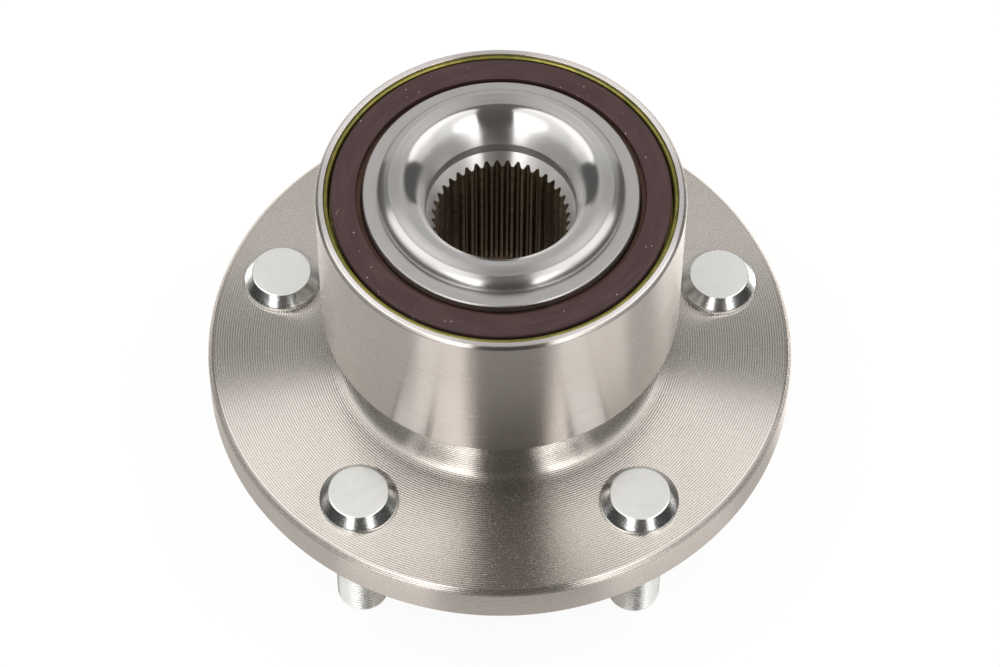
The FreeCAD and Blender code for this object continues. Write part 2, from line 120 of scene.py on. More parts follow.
class Bench:
    """One node tree, with the node patterns that the finishes share."""

    def __init__(self, tree: bpy.types.NodeTree) -> None:
        """Clear the tree and start on it."""
        self.tree = tree
        self.tree.nodes.clear()

    def node(
        self,
        kind: str,
        settings: dict[str, object] | None = None,
        sockets: dict[str | int, object] | None = None,
    ) -> Wire:
        """Add a node.

        Args:
            kind: The node's type.
            settings: Its own properties.
            sockets: Values or wires for its inputs, by name or by number.

        Returns:
            The node's first output that is in use, or its first input if it has no output.
        """
        made = self.tree.nodes.new(kind)
        for name, value in (settings or {}).items():
            setattr(made, name, value)
        for name, value in (sockets or {}).items():
            if isinstance(value, Wire):
                self.tree.links.new(value.socket, made.inputs[name])
            else:
                made.inputs[name].default_value = value
        outputs = [o for o in made.outputs if o.enabled]
        return Wire(self, outputs[0]) if outputs else Wire(self, made.inputs[0])

    def math(self, operation: str, *values: Wire | float) -> Wire:
        """Add a Math node."""
        return self.node("ShaderNodeMath", {"operation": operation}, dict(enumerate(values)))

    def step(
        self, value: Wire, low: float, high: float, to_low: float = 0.0, to_high: float = 1.0
    ) -> Wire:
        """Smooth step of a value from low to high."""
        return self.node(
            "ShaderNodeMapRange",
            {"interpolation_type": "SMOOTHSTEP"},
            {"Value": value, "From Min": low, "From Max": high, "To Min": to_low, "To Max": to_high},
        )

    def fall(self, value: Wire, low: float, high: float) -> Wire:
        """Smooth step from one at low down to nought at high."""
        return self.step(value, low, high, 1.0, 0.0)

    def window(self, value: Wire, low: float, high: float, soft: float) -> Wire:
        """One between low and high, and nought outside, with soft edges."""
        return self.step(value, low - soft, low + soft) * self.fall(value, high - soft, high + soft)

    def blend(self, share: Wire | float, first: object, second: object) -> Wire:
        """Mix two colours by a share."""
        first, second = (c if isinstance(c, Wire) else (*c, 1.0) for c in (first, second))
        return self.node(
            "ShaderNodeMix", {"data_type": "RGBA"}, {0: share, 6: first, 7: second}
        ).out(2)

    def split(self, output: str) -> tuple[Wire, Wire, Wire]:
        """X, Y and Z of one of the texture coordinates."""
        here = self.node("ShaderNodeTexCoord").out(output)
        parts = self.node("ShaderNodeSeparateXYZ", None, {0: here})
        return parts, parts.out("Y"), parts.out("Z")

    def vector(self, x: Wire | float, y: Wire | float, z: Wire | float) -> Wire:
        """Join three values."""
        return self.node("ShaderNodeCombineXYZ", None, {"X": x, "Y": y, "Z": z})

    def noise(self, at: Wire, scale: float, detail: float, roughness: float) -> Wire:
        """Noise value from nought to one."""
        return self.node(
            "ShaderNodeTexNoise",
            {"noise_dimensions": "3D"},
            {"Vector": at, "Scale": scale, "Detail": detail, "Roughness": roughness},
        )

    def cells(self, at: Wire, scale: float) -> Wire:
        """Distance to the nearest of scattered points."""
        return self.node("ShaderNodeTexVoronoi", {"feature": "F1"}, {"Vector": at, "Scale": scale})

    def bump(self, height: Wire) -> Wire:
        """Normal from a height in millimetres."""
        return self.node("ShaderNodeBump", None, {"Height": height, "Distance": MM, "Strength": 1.0})


class Round:
    """Places on a turned piece: radius, height and way round, in millimetres."""

    def __init__(self, bench: Bench) -> None:
        """Read Object coordinates about the frame's upright axis."""
        self.bench = bench
        x, y, self.z = (part * TO_MM for part in bench.split("Object"))
        self.r = (x * x + y * y) ** 0.5
        self.place = bench.vector(x, y, self.z)
        side = self.r.math("MAXIMUM", 0.01)
        self.x = x / side
        self.y = y / side

    def noise(self, scale: float, detail: float = 3.0, roughness: float = 0.6) -> Wire:
        """Noise over the place."""
        return self.bench.noise(self.place, scale, detail, roughness)

    def streaks(
        self, across: Wire, along: float, fine: float, detail: float = 3.0, roughness: float = 0.6
    ) -> Wire:
        """Noise that is drawn out the way round the axis, or away from it where along is large.

        Args:
            across: Distance over the surface, square to the way round.
            along: How often the noise changes the way round.
            fine: How often it changes across.
            detail: Detail of the noise.
            roughness: Roughness of the noise.

        Returns:
            The noise value, from nought to one.
        """
        drawn = self.bench.vector(self.x * along, self.y * along, across * fine)
        return self.bench.noise(drawn, 1.0, detail, roughness)


# Finishes


class Finish:
    """A surface finish, made once and shared by the pieces that have it."""

    name: str
    _made: dict[str, bpy.types.Material] = {}

    def material(self) -> bpy.types.Material:
        """The finish as a material."""
        if self.name not in Finish._made:
            made = bpy.data.materials.new(self.name)
            made.use_nodes = True
            bench = Bench(made.node_tree)
            shader = self.shade(bench, Round(bench))
            bench.node("ShaderNodeOutputMaterial", None, {"Surface": shader})
            Finish._made[self.name] = made
        return Finish._made[self.name]

    def shade(self, bench: Bench, at: Round) -> Wire:
        """Build the shader."""
        raise NotImplementedError


def surface(
    bench: Bench, colour: Wire, roughness: Wire, height: Wire, more: dict[str, object]
) -> Wire:
    """Surface with a fine relief.

    Args:
        bench: The tree.
        colour: Its colour.
        roughness: Its roughness.
        height: Height of its relief, in millimetres.
        more: What else goes into the shader, by socket.

    Returns:
        The shader.
    """
    return bench.node(
        "ShaderNodeBsdfPrincipled",
        None,
        {"Base Color": colour, "Roughness": roughness, "Normal": bench.bump(height), **more},
    )


def steel(
    bench: Bench,
    colour: Wire,
    roughness: Wire,
    height: Wire,
    grain: float,
    metallic: Wire | float = 1.0,
) -> Wire:
    """Steel whose tool marks run round the axis.

    Args:
        bench: The tree.
        colour: Colour of the metal.
        roughness: Roughness of the metal.
        height: Height of the tool marks, in millimetres.
        grain: How far the marks stretch the gloss across them.
        metallic: Share of bare metal.

    Returns:
        The shader.
    """
    marks = {"Metallic": metallic, "Anisotropic": grain, "Anisotropic Rotation": QUARTER_TURN}
    return surface(bench, colour, roughness, height, marks)


@dataclass(frozen=True)
class HubSteel(Finish):
    """Forged and turned hub: faced flange, polished collar funnel, oiled spline.

    Its colour also holds painted light: dark lines painted along the flange's turning grooves as
    shade, a painted highlight on the cone at the funnel's mouth, and in the spline a dark tone of
    painted shade with painted highlights on the lands.

    Its bump also stands in for shape: the tight root where the neck meets the flange (lean and
    root), and the wide mouth of the funnel (flare). Bands are radii in millimetres.
    """

    name: str = "hub_steel"
    turned: Colour = (0.73, 0.69, 0.645)
    formed: Colour = (0.66, 0.655, 0.65)
    # painted highlight: near-white colour on the cone at the funnel's mouth
    mouth: Colour = (0.92, 0.91, 0.90)
    stained: Colour = (0.60, 0.56, 0.53)
    # painted shade: dark lines along the turning grooves, for the dark side of their light-and-dark
    # banding
    groove_band_shade: Colour = (0.36, 0.33, 0.31)
    # painted light: the lighter colour, on the lands where the oil noise is high, is oil and a painted
    # highlight; the darker one is dried oil and painted shade of the bore
    oil_and_land_highlight: Colour = (0.21, 0.165, 0.11)
    dried_oil_and_bore_shade: Colour = (0.13, 0.09, 0.055)
    grain: float = 0.94
    feed: float = 0.58
    furrow_depth: float = 0.030
    throat_r: float = 17.5
    cone_slope: float = 1.5
    cone_foot: float = 37.6
    spline_land: Band = (14.7, 15.3)
    mouth_edge: Band = (16.6, 16.9)
    funnel_wall: Band = (17.6, 19.4)
    funnel_lip: Band = (21.8, 22.8)
    root_band: Band = (33.4, 38.2)
    root: float = 1.6
    lean: float = 0.12
    flange_z: float = 22.0
    flare: float = 0.19
    flare_z: float = 71.9
    flare_soft: float = 0.6
    foot_z: float = 65.0
    crest_r: float = 22.9

    def shade(self, bench: Bench, at: Round) -> Wire:
        """Build the shader."""
        run = at.r - at.z
        upper = bench.step(at.z, self.flange_z, self.flange_z + 4.0)
        inside = bench.fall(at.r, self.throat_r - 0.6, self.throat_r)
        cone = at.z - at.r * self.cone_slope
        bore = inside * bench.fall(cone, self.cone_foot - 0.25, self.cone_foot - 0.08)
        collar = upper * (1 - bore)
        blotch = at.noise(0.09, 4.0)
        streak = at.streaks(run, 3.0, 2.6)
        speck = at.noise(2.4, 3.0, 0.65)
        oil = at.noise(0.5)
        rings = (run * (2 * math.pi / self.feed)).math("SINE") * 0.5

        tint = bench.blend(collar, self.turned, self.formed)
        # painted highlight on the cone at the mouth of the funnel
        tint = bench.blend(collar * bench.fall(at.r, *self.mouth_edge), tint, self.mouth)
        tint = bench.blend(bench.step(blotch, 0.35, 0.75) * 0.25, tint, self.stained)
        # painted shade: dark lines along each turn of the tool marks on the flange
        tint = bench.blend(bench.step(rings, -0.1, 0.5) * (1 - upper) * 0.30, tint, self.groove_band_shade)
        # painted shade over the whole bore, with painted highlights on the lands where there is oil
        land = bench.fall(at.r, *self.spline_land)
        splined = bench.blend(land * bench.step(oil, 0.3, 0.7), self.dried_oil_and_bore_shade, self.oil_and_land_highlight)
        colour = bench.blend(bore, tint, splined)

        dull = bench.fall(at.r, *self.funnel_wall) * 0.16 + bench.step(at.r, *self.funnel_lip) * 0.13
        roughness = 0.24 + streak * 0.05 + bench.step(speck, 0.5, 0.8) * 0.05
        roughness = roughness * (1 - collar) + collar * (0.10 + streak * 0.06 + dull)
        roughness = roughness * (1 - bore) + bore * (0.30 + oil * 0.2)

        grooves = (rings * self.furrow_depth + streak * 0.004) * (1 - upper)
        lathe = streak * 0.0022 * upper
        pits = bench.step(speck, 0.62, 0.72) * 0.004 * (1 - collar * 0.9)
        hollow = bench.step(at.r, *self.root_band) * self.root
        depth = self.flare_z - at.z.math("MAXIMUM", self.foot_z)
        flare = (depth + (depth * depth + self.flare_soft) ** 0.5) * self.flare
        height = grooves + lathe - pits - (at.r * self.lean + hollow) * (1 - upper)
        height = height + flare * bench.fall(at.r, self.crest_r, self.crest_r + 1.6)
        return steel(bench, colour, roughness, height, self.grain)


@dataclass(frozen=True)
class GroundSteel(Finish):
    """Steel ground round its outside and across its end faces, with the upper end face painted lighter
    for the light that falls on it.
    """

    name: str = "ground_steel"
    tint: Colour = (0.62, 0.585, 0.555)
    stained: Colour = (0.57, 0.525, 0.48)
    # painted highlight: the upper end face is lighter, for the light it catches from above
    lit_end_tint: Colour = (0.90, 0.86, 0.85)
    end_z: float = 68.8
    roughness: float = 0.21
    grain: float = 1.0

    def shade(self, bench: Bench, at: Round) -> Wire:
        """Build the shader."""
        run = at.r + at.z
        fine = at.streaks(run, 5.0, 11.0, 3.0, 0.7)
        broad = at.streaks(run, 1.2, 0.9, 3.0, 0.55)
        stain = at.noise(0.07, 4.0)
        colour = bench.blend(bench.step(stain, 0.35, 0.7) * 0.35, self.tint, self.stained)
        # painted highlight: lighter colour and a little less metal on the upper end face
        end = bench.step(at.z, self.end_z - 0.12, self.end_z - 0.02)
        colour = bench.blend(end, colour, self.lit_end_tint)
        roughness = self.roughness + fine * 0.07 + bench.step(broad, 0.3, 0.8) * 0.03
        height = fine * 0.0007 + broad * 0.00015
        metallic = 1.0 - end * (0.09 + stain * 0.05)
        return steel(bench, colour, roughness, height, self.grain, metallic)


@dataclass(frozen=True)
class RaceSteel(Finish):
    """Hardened ring steel, with faint strokes away from the axis on its end face."""

    name: str = "bearing_steel"
    tint: Colour = (0.60, 0.59, 0.58)
    clouded: Colour = (0.53, 0.52, 0.51)

    def shade(self, bench: Bench, at: Round) -> Wire:
        """Build the shader."""
        strokes = at.streaks(at.r, 60.0, 0.10)
        fine = at.streaks(at.r + at.z, 8.0, 8.0, 2.0)
        cloud = at.noise(0.12)
        colour = bench.blend(bench.step(cloud, 0.3, 0.7) * 0.4, self.tint, self.clouded)
        roughness = 0.26 + strokes * 0.14 + fine * 0.06
        height = strokes * 0.0012 + fine * 0.0008
        return steel(bench, colour, roughness, height, 0.3)


@dataclass(frozen=True)
class BallSteel(Finish):
    """Lapped ball steel with a trace of grease."""

    name: str = "ball_steel"
    tint: Colour = (0.70, 0.70, 0.70)
    greased: Colour = (0.60, 0.56, 0.45)

    def shade(self, bench: Bench, at: Round) -> Wire:
        """Build the shader."""
        grease = at.noise(0.35)
        mark = at.noise(4.0, 2.0, 0.5)
        wet = bench.step(grease, 0.45, 0.7)
        colour = bench.blend(wet * 0.5, self.tint, self.greased)
        roughness = 0.05 + wet * 0.18 + mark * 0.02
        return steel(bench, colour, roughness, mark * 0.0003, 0.0)


@dataclass(frozen=True)
class ZincPlate(Finish):
    """Clear zinc plate over a cold-headed stud."""

    name: str = "zinc_plate"
    tint: Colour = (0.97, 0.985, 0.975)
    clouded: Colour = (0.84, 0.865, 0.86)
    shank_tint: Colour = (0.75, 0.765, 0.75)
    shank_top: Band = (-0.6, 0.4)
    flat_z: float = 14.7

    def shade(self, bench: Bench, at: Round) -> Wire:
        """Build the shader."""
        spangle = bench.cells(at.place, 0.9)
        flake = at.noise(1.6, 4.0, 0.7)
        cloud = at.noise(0.35)
        colour = bench.blend(bench.step(cloud, 0.35, 0.75) * 0.5, self.tint, self.clouded)
        flat = bench.step(at.z, self.flat_z - 0.15, self.flat_z - 0.05)
        shank = bench.fall(at.z, *self.shank_top)
        colour = bench.blend(shank, colour, self.shank_tint)
        roughness = 0.13 + shank * 0.08 + bench.step(cloud, 0.3, 0.7) * 0.06
        roughness = roughness + bench.step(flake, 0.4, 0.7) * 0.04 + flat * 0.16
        crackle = at.noise(4.0)
        height = (flake * 0.010 + spangle * 0.006) * (1 - flat * 0.6) + crackle * 0.020 * (1 - flat)
        return steel(bench, colour, roughness, height, 0.0, 1.0 - flat * (0.22 + cloud * 0.12))


@dataclass(frozen=True)
class PassivatedSteel(Finish):
    """Stamped steel with a yellow passivated skin."""

    name: str = "yellow_passivated"
    yellow: Colour = (0.42, 0.37, 0.10)
    green: Colour = (0.27, 0.27, 0.07)
    seam: Colour = (0.05, 0.045, 0.01)
    seam_r: float = 38.72

    def shade(self, bench: Bench, at: Round) -> Wire:
        """Build the shader."""
        cloud = at.noise(0.4)
        fine = at.streaks(at.r + at.z, 10.0, 6.0, 2.0)
        colour = bench.blend(bench.step(cloud, 0.35, 0.7), self.yellow, self.green)
        line = bench.window(at.r, self.seam_r - 0.07, self.seam_r + 0.07, 0.03)
        colour = bench.blend(line * 0.75, colour, self.seam)
        return steel(bench, colour, 0.30 + fine * 0.12, fine * 0.0015, 0.3, 0.9)


@dataclass(frozen=True)
class StampedSteel(Finish):
    """Stamped stainless steel, painted dark brown as the shade it lies in inside the seal."""

    name: str = "stainless"
    # painted shade: both colours are dark stand-ins for the shade inside the seal, not the steel's own
    # colour
    tint: Colour = (0.11, 0.065, 0.05)
    stained: Colour = (0.06, 0.035, 0.028)

    def shade(self, bench: Bench, at: Round) -> Wire:
        """Build the shader."""
        fine = at.streaks(at.r + at.z, 6.0, 5.0)
        cloud = at.noise(0.2)
        # painted shade, the two dark colours mixed by a random cloud
        colour = bench.blend(bench.step(cloud, 0.3, 0.7) * 0.5, self.tint, self.stained)
        return steel(bench, colour, 0.28 + fine * 0.15, fine * 0.0015, 0.3)


@dataclass(frozen=True)
class EncoderRubber(Finish):
    """Moulded rubber filled with magnetic powder, with a little dust on it."""

    name: str = "encoder_rubber"
    deep: Colour = (0.044, 0.022, 0.022)
    worn: Colour = (0.066, 0.036, 0.036)
    powder: Colour = (0.08, 0.05, 0.05)
    dust: Colour = (0.62, 0.56, 0.52)

    def shade(self, bench: Bench, at: Round) -> Wire:
        """Build the shader."""
        grain = at.noise(5.0, 4.0, 0.7)
        cloud = at.streaks(at.r, 3.0, 0.5)
        where = at.noise(0.6, 2.0, 0.5)
        speck = bench.fall(bench.cells(at.place, 0.75), 0.08, 0.13) * bench.step(where, 0.54, 0.62)
        colour = bench.blend(bench.step(cloud, 0.3, 0.75), self.deep, self.worn)
        colour = bench.blend(bench.step(grain, 0.35, 0.8) * 0.4, colour, self.powder)
        colour = bench.blend(speck * 0.8, colour, self.dust)
        height = grain * 0.010 + speck * 0.02
        return surface(bench, colour, 0.52 + grain * 0.16, height, {"Specular IOR Level": 0.35})


@dataclass(frozen=True)
class LipRubber(Finish):
    """Black nitrile of the seal lips, with the sheen that grease leaves."""

    name: str = "black_rubber"
    deep: Colour = (0.014, 0.013, 0.012)
    worn: Colour = (0.035, 0.030, 0.026)

    def shade(self, bench: Bench, at: Round) -> Wire:
        """Build the shader."""
        grain = at.noise(3.0)
        wipe = at.streaks(at.r + at.z, 5.0, 3.0, 2.0)
        colour = bench.blend(bench.step(grain, 0.35, 0.75), self.deep, self.worn)
        height = grain * 0.006 + wipe * 0.004
        return surface(bench, colour, 0.40 + wipe * 0.25, height, {"Specular IOR Level": 0.5})


@dataclass(frozen=True)
class CagePolyamide(Finish):
    """Natural polyamide with short glass fibre, a little greased."""

    name: str = "polyamide"
    clean: Colour = (0.70, 0.64, 0.48)
    greased: Colour = (0.50, 0.42, 0.27)
    scatter: Colour = (0.002, 0.0015, 0.001)

    def shade(self, bench: Bench, at: Round) -> Wire:
        """Build the shader."""
        fibre = at.streaks(at.z, 30.0, 3.0)
        grease = at.noise(0.25)
        colour = bench.blend(bench.step(grease, 0.35, 0.7), self.clean, self.greased)
        soft = {"Subsurface Weight": 0.1, "Subsurface Radius": self.scatter}
        return surface(bench, colour, 0.38 + fibre * 0.15, fibre * 0.006, soft)


# Turning


@dataclass
class Outline:
    """Half-section of a turned piece: radius and height of its corners, in millimetres."""

    corners: list[Point] = field(default_factory=list)
    reaches: list[float] = field(default_factory=list)
    closed: bool = True

    def to(self, r: float, z: float, reach: float = 0.0) -> "Outline":
        """Go on to a corner.

        Args:
            r: Radius.
            z: Height.
            reach: How far before and after the corner its rounding starts and ends.

        Returns:
            The outline itself.
        """
        self.corners.append((r, z))
        self.reaches.append(reach)
        return self

    def arc(self, centre: Point, r: float, z: float, count: int = 8) -> "Outline":
        """Go on by the shorter arc about a centre to a point.

        Args:
            centre: Centre of the arc.
            r: Radius of its end.
            z: Height of its end.
            count: How many chords it has.

        Returns:
            The outline itself.
        """
        start_r, start_z = self.corners[-1]
        first = math.atan2(start_z - centre[1], start_r - centre[0])
        last = math.atan2(z - centre[1], r - centre[0])
        sweep = (last - first + math.pi) % (2 * math.pi) - math.pi
        radius = math.dist((start_r, start_z), centre)
        for step in range(1, count + 1):
            angle = first + sweep * step / count
            self.to(centre[0] + radius * math.cos(angle), centre[1] + radius * math.sin(angle))
        return self

    def funnel(self, r: float, z: float, count: int = 18) -> "Outline":
        """Go on by a quarter of an ellipse that leaves level and arrives upright."""
        start_r, start_z = self.corners[-1]
        for step in range(1, count + 1):
            angle = math.pi / 2 * (1 - step / count)
            self.to(start_r - (start_r - r) * math.cos(angle), z + (start_z - z) * math.sin(angle))
        return self

    def rounded(self, count: int = 4) -> list[Point]:
        """Points of the outline with its corners rounded.

        Args:
            count: How many chords each rounding has.

        Returns:
            Radius and height of each point, in metres.
        """
        points: list[Point] = []
        total = len(self.corners)
        for index, (corner, reach) in enumerate(zip(self.corners, self.reaches)):
            if reach <= 0 or (not self.closed and index in (0, total - 1)):
                points.append(corner)
                continue
            here = Vector(corner)
            before = (Vector(self.corners[index - 1]) - here).normalized() * reach
            after = (Vector(self.corners[(index + 1) % total]) - here).normalized() * reach
            for step in range(count + 1):
                t = step / count
                points.append(tuple(here + before * (1 - t) ** 2 + after * t**2))
        return [(r * MM, z * MM) for r, z in points]


class Lathe:
    """Turns outlines with Blender's own operators."""

    @staticmethod
    def start(name: str) -> Piece:
        """Add a primitive at the origin, draw it together to one vertex and stay in edit mode."""
        bpy.ops.object.select_all(action="DESELECT")
        bpy.ops.mesh.primitive_plane_add(size=MM, location=(0, 0, 0))
        made = bpy.context.active_object
        made.name = name
        made.data.name = name
        bpy.ops.object.mode_set(mode="EDIT")
        bpy.ops.mesh.select_all(action="SELECT")
        bpy.ops.mesh.merge(type="CENTER")
        return made

    @staticmethod
    def draw(points: list[Vector]) -> None:
        """Move the one vertex to the first point and extrude it from point to point."""
        bpy.ops.transform.translate(value=points[0])
        for last, point in zip(points, points[1:]):
            bpy.ops.mesh.extrude_vertices_move(TRANSFORM_OT_translate={"value": point - last})
        Lathe.merge()

    @staticmethod
    def merge() -> None:
        """Merge doubled vertices of the piece in edit mode."""
        bpy.ops.mesh.select_all(action="SELECT")
        bpy.ops.mesh.remove_doubles(threshold=WELD)

    @staticmethod
    def turn(
        name: str, outline: Outline, steps: int, axis: Point = (0.0, 0.0), first_angle: float = 0.0
    ) -> Piece:
        """Turn an outline all the way round an upright axis.

        Args:
            name: Name of the piece.
            outline: Its half-section.
            steps: How many steps it has all the way round.
            axis: Where the axis stands, in metres.
            first_angle: Where the half-section stands, in degrees from +X.

        Returns:
            The turned piece.
        """
        made = Lathe.start(name)
        points = outline.rounded()
        if outline.closed:
            points.append(points[0])
        out = (math.cos(math.radians(first_angle)), math.sin(math.radians(first_angle)))
        Lathe.draw([Vector((axis[0] + r * out[0], axis[1] + r * out[1], z)) for r, z in points])
        bpy.ops.mesh.spin(steps=steps, angle=2 * math.pi, center=(*axis, 0), axis=(0, 0, 1))
        Lathe.weld()
        return made

    @staticmethod
    def weld() -> None:
        """Merge doubled vertices, point the faces outwards and leave edit mode."""
        Lathe.merge()
        bpy.ops.mesh.normals_make_consistent(inside=False)
        bpy.ops.object.mode_set(mode="OBJECT")

    @staticmethod
    def pick(piece: Piece) -> None:
        """Select one piece alone and make it the active one."""
        bpy.ops.object.select_all(action="DESELECT")
        piece.select_set(True)
        bpy.context.view_layer.objects.active = piece

    @staticmethod
    def apply(piece: Piece, kind: str, **settings: object) -> None:
        """Give a piece a modifier and apply it."""
        Lathe.pick(piece)
        modifier = piece.modifiers.new(kind.lower(), kind)
        for name, value in settings.items():
            setattr(modifier, name, value)
        bpy.ops.object.modifier_apply(modifier=modifier.name)

    @staticmethod
    def join(piece: Piece, other: Piece, operation: str) -> None:
        """Join, cut or meet a piece with another by a Boolean, and remove the other."""
        Lathe.apply(piece, "BOOLEAN", object=other, operation=operation, solver="EXACT")
        bpy.data.objects.remove(other, do_unlink=True)

    @staticmethod
    def smooth(piece: Piece) -> None:
        """Shade a piece smooth but for its sharp edges, with its flats kept flat."""
        Lathe.pick(piece)
        bpy.ops.object.shade_smooth_by_angle(angle=math.radians(SHARP_ANGLE))
        Lathe.apply(piece, "WEIGHTED_NORMAL", keep_sharp=True)


def span(node: str) -> tuple[float, float, float]:
    """Radius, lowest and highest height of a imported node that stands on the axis, in millimetres."""
    low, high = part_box(node)
    return (high[0] - low[0]) / 2 / MM, low[2] / MM, high[2] / MM


def mount(name: str) -> dict[str, float]:
    """Sizes that the record gives a mount."""
    return next(m["dims"] for m in frame["record"]["mounts"] if m["name"] == name)


def stud_axis(index: int) -> Point:
    """Where a wheel stud's axis stands, in metres."""
    ring = mount("wheel_studs")
    angle = math.radians(FIRST_STUD + index * 360 / int(ring["count"]))
    circle_r = ring["pcd_mm"] / 2
    return (circle_r * math.cos(angle) * MM, circle_r * math.sin(angle) * MM)


def fit(piece: Piece, node: str, finish: Finish, body: str) -> None:
    """Dress a modelled piece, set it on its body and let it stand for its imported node.

    Args:
        piece: The modelled piece.
        node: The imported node.
        finish: Its finish.
        body: The body that it moves with.
    """
    piece.data.materials.clear()
    piece.data.materials.append(finish.material())
    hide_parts(node)
    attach(piece, body)
    LOG.info("%s: modelled, %d faces, in %s", piece.name, len(piece.data.polygons), finish.name)


def turned_ring(name: str, line: Outline, node: str, finish: Finish, body: str) -> None:
    """Turn a piece that is a plain ring, smooth it and fit it."""
    ring = Lathe.turn(name, line, RING_STEPS)
    Lathe.smooth(ring)
    fit(ring, node, finish, body)


# Pieces


@dataclass
class Hub:
    """Forged and turned hub: pilot, flange, neck, raceway, formed collar, funnel and spline."""

    steps: int = 320
    teeth: int = 40
    phase: float = 3.5
    major_r: float = field(default_factory=lambda: mount("drive_shaft_spline")["r_mm"])
    minor_r: float = 14.65
    tooth_flank: Point = (15.378, 15.01)
    spline_foot_z: float = 22.5
    relief_r: float = 16.2
    throat: Point = (16.6, 62.5)
    throat_slope: float = 1.5
    nut_seat_z: float = 4.0
    nut_lead: float = 0.3
    recess_r: float = 25.5
    recess_fillet: float = 3.0
    edge: float = 1.1
    pilot_r: float = field(default_factory=lambda: mount("wheel_pilot")["r_mm"])
    pilot_edge: float = 1.5
    undercut: float = 0.6
    face_relief: Point = (44.5, 0.8)
    neck_r: float = 31.0
    neck_fillet: float = 9.0
    shoulder: Point = (30.6, 31.81)
    race_foot_z: float = 32.212
    race: Point = (31.656, 38.731)
    race_top_z: float = 40.344
    land_edge: float = 0.3
    seat_r: float = 21.0
    seat_fillet: float = 0.8
    ring_top_z: float = field(default_factory=lambda: span("inner_ring")[2])
    ring_lead: float = 2.0
    foot_r: float = 26.6
    bead: Point = (25.0, 0.65)
    bead_radius: float = 2.3
    bead_end: float = 14.0
    crest: Band = (24.8, 22.2)

    def outline(self) -> Outline:
        """Half-section of the hub, from the foot of the spline round by the pilot and the flange."""
        flange_r, low, high = span("wheel_hub")
        flat_z, edge, relief_z = FLANGE_TOP_Z, self.edge, self.face_relief[1]
        line = Outline()
        line.to(self.minor_r, self.spline_foot_z + self.relief_r - self.minor_r)
        line.to(self.relief_r, self.spline_foot_z)
        line.to(self.relief_r, self.nut_seat_z + self.nut_lead, 0.1)
        line.to(self.relief_r + self.nut_lead, self.nut_seat_z, 0.1)
        corner = (self.recess_r - self.recess_fillet, self.nut_seat_z - self.recess_fillet)
        line.to(corner[0], self.nut_seat_z).arc(corner, self.recess_r, corner[1])
        line.to(self.recess_r, low + edge, 0.3).to(self.recess_r + edge, low, 0.3)
        line.to(self.pilot_r - self.pilot_edge, low, 0.5).to(self.pilot_r, low + self.pilot_edge, 0.5)
        groove_r = self.pilot_r - self.undercut
        line.to(self.pilot_r, -2 * self.undercut, 0.2).to(groove_r, -self.undercut, 0.2)
        line.to(groove_r, relief_z, 0.35).to(self.face_relief[0], relief_z, 0.3)
        line.to(self.face_relief[0] + relief_z, 0.0, 0.3)
        line.to(flange_r - edge, 0.0, 0.45).to(flange_r, edge, 0.45)
        line.to(flange_r, flat_z - edge, 0.45).to(flange_r - edge, flat_z, 0.45)
        root = (self.neck_r + self.neck_fillet, flat_z + self.neck_fillet)
        line.to(root[0], flat_z).arc(root, self.neck_r, root[1], 14)
        line.to(self.neck_r, self.shoulder[1] - 0.4, 0.15).to(*self.shoulder, 0.15)
        line.to(self.shoulder[0], self.race_foot_z).arc(self.race, HUB_LAND_R, self.race_top_z, 12)
        line.to(HUB_LAND_R, ROW_MIDDLE_Z - self.land_edge, 0.1)
        line.to(HUB_LAND_R - self.land_edge, ROW_MIDDLE_Z, 0.1)
        hollow = (self.seat_r + self.seat_fillet, ROW_MIDDLE_Z + self.seat_fillet)
        line.to(hollow[0], ROW_MIDDLE_Z).arc(hollow, self.seat_r, hollow[1], 4)
        line.to(self.seat_r, self.ring_top_z - self.ring_lead)
        line.to(self.seat_r + self.ring_lead, self.ring_top_z).to(self.foot_r, self.ring_top_z)
        bead_r, bead_z, end = self.bead[0], self.ring_top_z + self.bead[1], math.radians(self.bead_end)
        line.to(bead_r + self.bead_radius, bead_z, 0.06)
        line.arc(
            (bead_r, bead_z),
            bead_r + self.bead_radius * math.sin(end), bead_z + self.bead_radius * math.cos(end), 14,
        )
        line.to(self.crest[0], high, 0.06).to(self.crest[1], high)
        return line.funnel(*self.throat).to(self.minor_r, self.spline_top_z())

    def spline_top_z(self) -> float:
        """Height at which the throat's cone meets the tips of the teeth."""
        return self.throat[1] - (self.throat[0] - self.minor_r) * self.throat_slope

    def cut_spline(self, hub: Piece) -> None:
        """Move the bore's columns out to the grooves of the spline, along the cones at its ends.

        Args:
            hub: The turned hub, with a column of vertices every eighth of a tooth.
        """
        columns = self.steps // self.teeth
        foot_z = self.spline_foot_z + self.relief_r - self.minor_r
        ends = ((self.spline_top_z(), self.throat_slope), (foot_z, -1.0))
        Lathe.pick(hub)
        for place, radius in enumerate((self.major_r, *self.tooth_flank)):
            for end_z, slope in ends:
                bpy.ops.object.mode_set(mode="EDIT")
                bpy.ops.mesh.select_mode(type="VERT")
                bpy.ops.mesh.select_all(action="DESELECT")
                mesh = bmesh.from_edit_mesh(hub.data)
                for vertex in mesh.verts:
                    x, y, z = vertex.co / MM
                    if max(abs(z - end_z), abs(math.hypot(x, y) - self.minor_r)) > NEAR:
                        continue
                    turn = (math.degrees(math.atan2(y, x)) - self.phase) % (360 / self.teeth)
                    column = round(turn * columns * self.teeth / 360) % columns
                    if min(column, columns - column) == place:
                        vertex.select = True
                mesh.select_flush_mode()
                bmesh.update_edit_mesh(hub.data)
                scale = radius / self.minor_r
                bpy.ops.transform.resize(value=(scale, scale, 1.0), center_override=(0, 0, 0))
                bpy.ops.transform.translate(value=(0, 0, (radius - self.minor_r) * slope * MM))
                bpy.ops.object.mode_set(mode="OBJECT")

